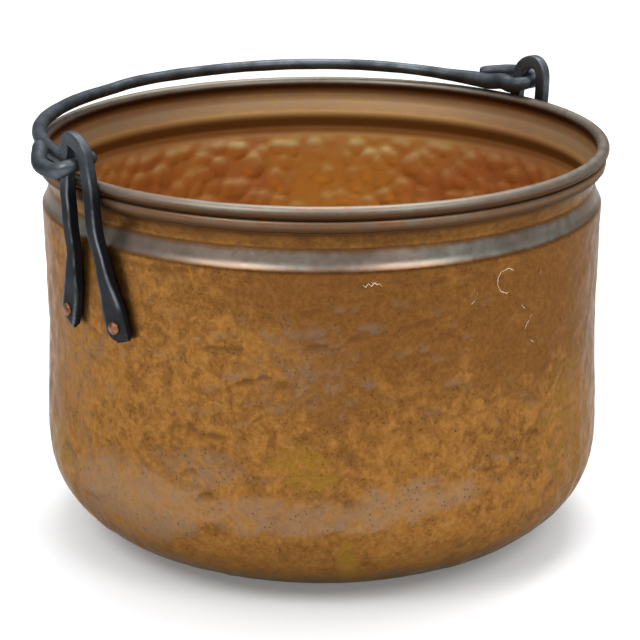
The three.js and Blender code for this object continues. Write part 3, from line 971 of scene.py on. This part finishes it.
def rod_height(reach):
    """Height of the hoop: it dips from the pivot to just above the rim, then rises towards its far side."""
    if reach < DIP_REACH:
        return glide(PIVOT_Z, REST_Z, reach / DIP_REACH)
    share = (reach - DIP_REACH) / (BAIL_REACH - DIP_REACH)
    return REST_Z + (PIVOT_Z - REST_Z + APEX_RISE) * math.sin(math.pi / 2 * share)


def hoop_span(reach):
    """Half the width of the hoop at a reach from the pivot."""
    return ROD_SPAN * (1 - (reach / BAIL_REACH) ** BAIL_POWER) ** (1 / BAIL_POWER)


def eye_points(eye, end):
    """The points of an eye as (x, y, z, rod radius)."""
    return [Vector((end * out, reach, PIVOT_Z + up, radius)) for out, reach, up, radius in eye]


def hoop_point(angle):
    """A point of the hoop as (x, y, z, rod radius): it swells towards its ends and sags on the left."""
    reach = BAIL_REACH * math.sin(angle) ** (2 / BAIL_POWER)
    end = math.copysign(1.0, math.cos(angle))
    span, height = hoop_span(reach), rod_height(reach)
    if end > 0:
        thickness = HOOP_THIN + 0.0019 * (1 - ramp(0.026, 0.090, reach))
        height += max(thickness - ROD_RADIUS, 0.0)
        return Vector((span, reach, height, thickness))
    span += 0.0024 * ramp(0.020, 0.085, reach) * (1 - ramp(0.110, 0.170, reach))
    height -= 0.0016 * ramp(0.080, 0.150, reach) * (1 - ramp(0.176, BAIL_REACH, reach))
    past_middle = math.degrees(angle) - 90
    return Vector((-span, reach, height, HOOP_THIN + 0.0010 * ramp(0, 70, past_middle)))


def bail_line():
    """The whole rod, from the tip of the right tail to the tip of the left one."""
    start = math.asin((HOOP_START / BAIL_REACH) ** (BAIL_POWER / 2))
    turn = math.pi - 2 * start
    hoop = [hoop_point(start + turn * step / HOOP_STEPS) for step in range(HOOP_STEPS + 1)]
    right, left = eye_points(RIGHT_EYE, 1), eye_points(LEFT_EYE, -1)
    return through([*right, *hoop, *reversed(left)], ROD_SPACING)


def bail(material):
    """The rod of the bail, uneven as forged iron is, with rounded tips."""
    line = bail_line()
    ways = tangents([point.xyz for point in line])
    up = Vector((0, 0, 1))
    rings = []
    count = len(line) - 1
    for index, (point, way) in enumerate(zip(line, ways)):
        centre, radius = point.xyz, point.w
        up = (up - way * up.dot(way)).normalized()
        aside = way.cross(up)
        from_end = min(index, count - index)
        radius *= TIP_TAPER[from_end] if from_end < len(TIP_TAPER) else 1.0
        ring = []
        for step in range(ROD_SIDES):
            angle = 2 * math.pi * step / ROD_SIDES
            spot = aside * math.cos(angle) + up * math.sin(angle)
            lump = noise.noise((centre + spot * radius) * 55.0)
            fine = noise.noise((centre + spot * radius) * 190.0)
            ring.append(centre + spot * (radius - 0.00022 * (0.5 + lump) - 0.00007 * fine))
        rings.append(ring)
    verts, faces = skin(rings)
    add_mesh("bail_rod", verts, faces, material, "bail", ["bail_handle"])


# ---------------------------------------------------------------- wire


def rim_wire(material):
    """The wire hidden in the rolled rim keeps its CAD shape."""
    wire = frame["nodes"]["rim_wire"]
    wire.data.materials.clear()
    wire.data.materials.append(material)


# ---------------------------------------------------------------- stage


def add_floor():
    mesh = bpy.data.meshes.new("floor")
    corners = [(x * FLOOR_HALF, y * FLOOR_HALF, 0) for x, y in ((-1, -1), (1, -1), (1, 1), (-1, 1))]
    mesh.from_pydata(corners, [], [(0, 1, 2, 3)])
    floor = bpy.data.objects.new("floor", mesh)
    floor.location.z = -FLOOR_DROP
    bpy.context.scene.collection.objects.link(floor)
    mesh.materials.append(floor_material())


def add_light(name, place, aim, size, power, colour=(1, 1, 1)):
    data = bpy.data.lights.new(name, "AREA")
    data.shape = "RECTANGLE"
    data.size, data.size_y = size
    data.energy = power
    data.color = colour
    light = bpy.data.objects.new(name, data)
    light.location = place
    light.rotation_euler = (Vector(aim) - Vector(place)).to_track_quat("-Z", "Y").to_euler()
    bpy.context.scene.collection.objects.link(light)


def add_world():
    """A pale room: dim at eye level in front, brighter overhead and behind the kettle."""
    world = bpy.data.worlds.new("studio")
    bpy.context.scene.world = world
    world.use_nodes = True
    tree = world.node_tree
    place = tree.nodes.new("ShaderNodeTexCoord")
    turn = tree.nodes.new("ShaderNodeVectorRotate")
    turn.rotation_type = "Z_AXIS"
    turn.inputs["Angle"].default_value = FRONT
    split = tree.nodes.new("ShaderNodeSeparateXYZ")
    tree.links.new(place.outputs["Generated"], turn.inputs["Vector"])
    tree.links.new(turn.outputs["Vector"], split.inputs["Vector"])
    climb = tree.nodes.new("ShaderNodeValToRGB")
    climb.color_ramp.interpolation = "EASE"
    stops = climb.color_ramp.elements
    stops[0].position, stops[0].color = 0.02, (0.30, 0.28, 0.26, 1.0)
    stops[1].position, stops[1].color = 0.85, (1.0, 1.03, 1.06, 1.0)
    middle = stops.new(0.40)
    middle.color = (0.46, 0.50, 0.54, 1.0)
    tree.links.new(split.outputs["Z"], climb.inputs["Fac"])
    behind = tree.nodes.new("ShaderNodeMapRange")
    behind.inputs["From Min"].default_value = -0.2
    behind.inputs["From Max"].default_value = 0.9
    behind.inputs["To Min"].default_value = 0.9
    behind.inputs["To Max"].default_value = 1.35
    tree.links.new(split.outputs["Y"], behind.inputs["Value"])
    background = tree.nodes["Background"]
    tree.links.new(climb.outputs["Color"], background.inputs["Color"])
    tree.links.new(behind.outputs["Result"], background.inputs["Strength"])


def seen(right, away, up):
    """A place as the camera sees it: to the right, away and up, in metres from the middle of the base."""
    return (
        right * math.cos(FRONT) + away * math.sin(FRONT),
        -right * math.sin(FRONT) + away * math.cos(FRONT),
        up,
    )


def add_lights():
    target = (0.0, 0.0, 0.18)
    add_light("key", seen(-1.25, -1.55, 2.1), target, (1.3, 1.1), 30.0)
    add_light("second", seen(1.25, -1.55, 1.9), target, (1.1, 1.1), 19.0)
    add_light("overhead", seen(0.2, 0.7, 2.4), (0.0, 0.0, 0.0), (1.6, 1.6), 40.0)


def add_camera():
    data = bpy.data.cameras.new("camera")
    data.sensor_width = 36.0
    data.lens = CAMERA_LENS
    camera = bpy.data.objects.new("camera", data)
    camera.location = seen(0.0, -CAMERA_DISTANCE, CAMERA_HEIGHT)
    camera.rotation_euler = (math.pi / 2 - CAMERA_TILT, 0.0, -FRONT + CAMERA_YAW)
    bpy.context.scene.collection.objects.link(camera)
    bpy.context.scene.camera = camera


def main():
    copper = copper_material()
    rivet_copper = rivet_material()
    iron = iron_material()
    kettle_body(copper)
    scratches(bare_copper_material())
    brackets(iron)
    rivets(rivet_copper)
    bail(iron)
    rim_wire(iron)
    add_floor()
    add_world()
    add_lights()
    add_camera()
    bpy.context.scene.view_settings.view_transform = "Standard"


main()
